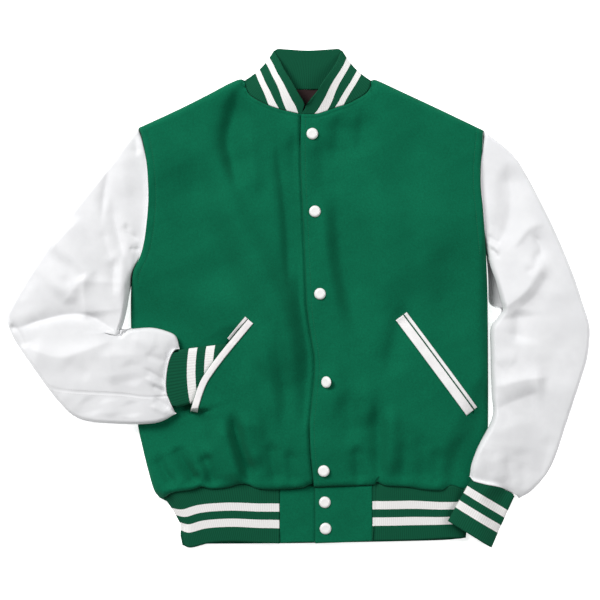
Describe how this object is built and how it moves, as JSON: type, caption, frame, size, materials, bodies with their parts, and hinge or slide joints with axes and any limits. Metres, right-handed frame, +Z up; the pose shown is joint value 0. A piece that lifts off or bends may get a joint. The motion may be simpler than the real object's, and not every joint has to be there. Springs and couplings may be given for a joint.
{
  "type": "varsity jacket laid flat",
  "caption": "Wool-bodied varsity jacket with leather-like sleeves and striped rib knit, fastened and laid flat on its back, one forearm bent across the front into its pocket.",
  "frame": {"origin": "centre of the jacket's bounding box, on the surface it lies on", "axes": "+X from the wearer's right to the wearer's left, +Y from the waistband to the collar, +Z up out of the jacket's front"},
  "size_m": [0.9053, 0.7757, 0.0499],
  "materials": {
    "wool": "matt felted wool",
    "sleeve": "soft low-sheen coated cloth with a fine grain",
    "knit": "rib knit with two off-white stripes",
    "snap": "glossy off-white cap",
    "welt": "soft low-sheen coated cloth",
    "lining": "smooth satin lining"
  },
  "bodies": {
    "root": {"back": "wool", "front_right": "wool", "front_left": "wool", "sleeve_right_top": "sleeve", "sleeve_right_under": "sleeve", "sleeve_left_top": "sleeve", "sleeve_left_under": "sleeve", "cuff_right": "knit", "cuff_left": "knit", "collar": "knit", "waistband_knit": "knit", "waistband_tab_left": "wool", "waistband_tab_right": "wool", "welt_right_inner": "welt", "welt_right_outer": "welt", "welt_left_inner": "welt", "welt_left_outer": "welt", "snap_1": "snap", "snap_2": "snap", "snap_3": "snap", "snap_4": "snap", "snap_5": "snap", "snap_6": "snap", "snap_7": "snap", "lining_neck": "lining"}
  },
  "joints": []
}
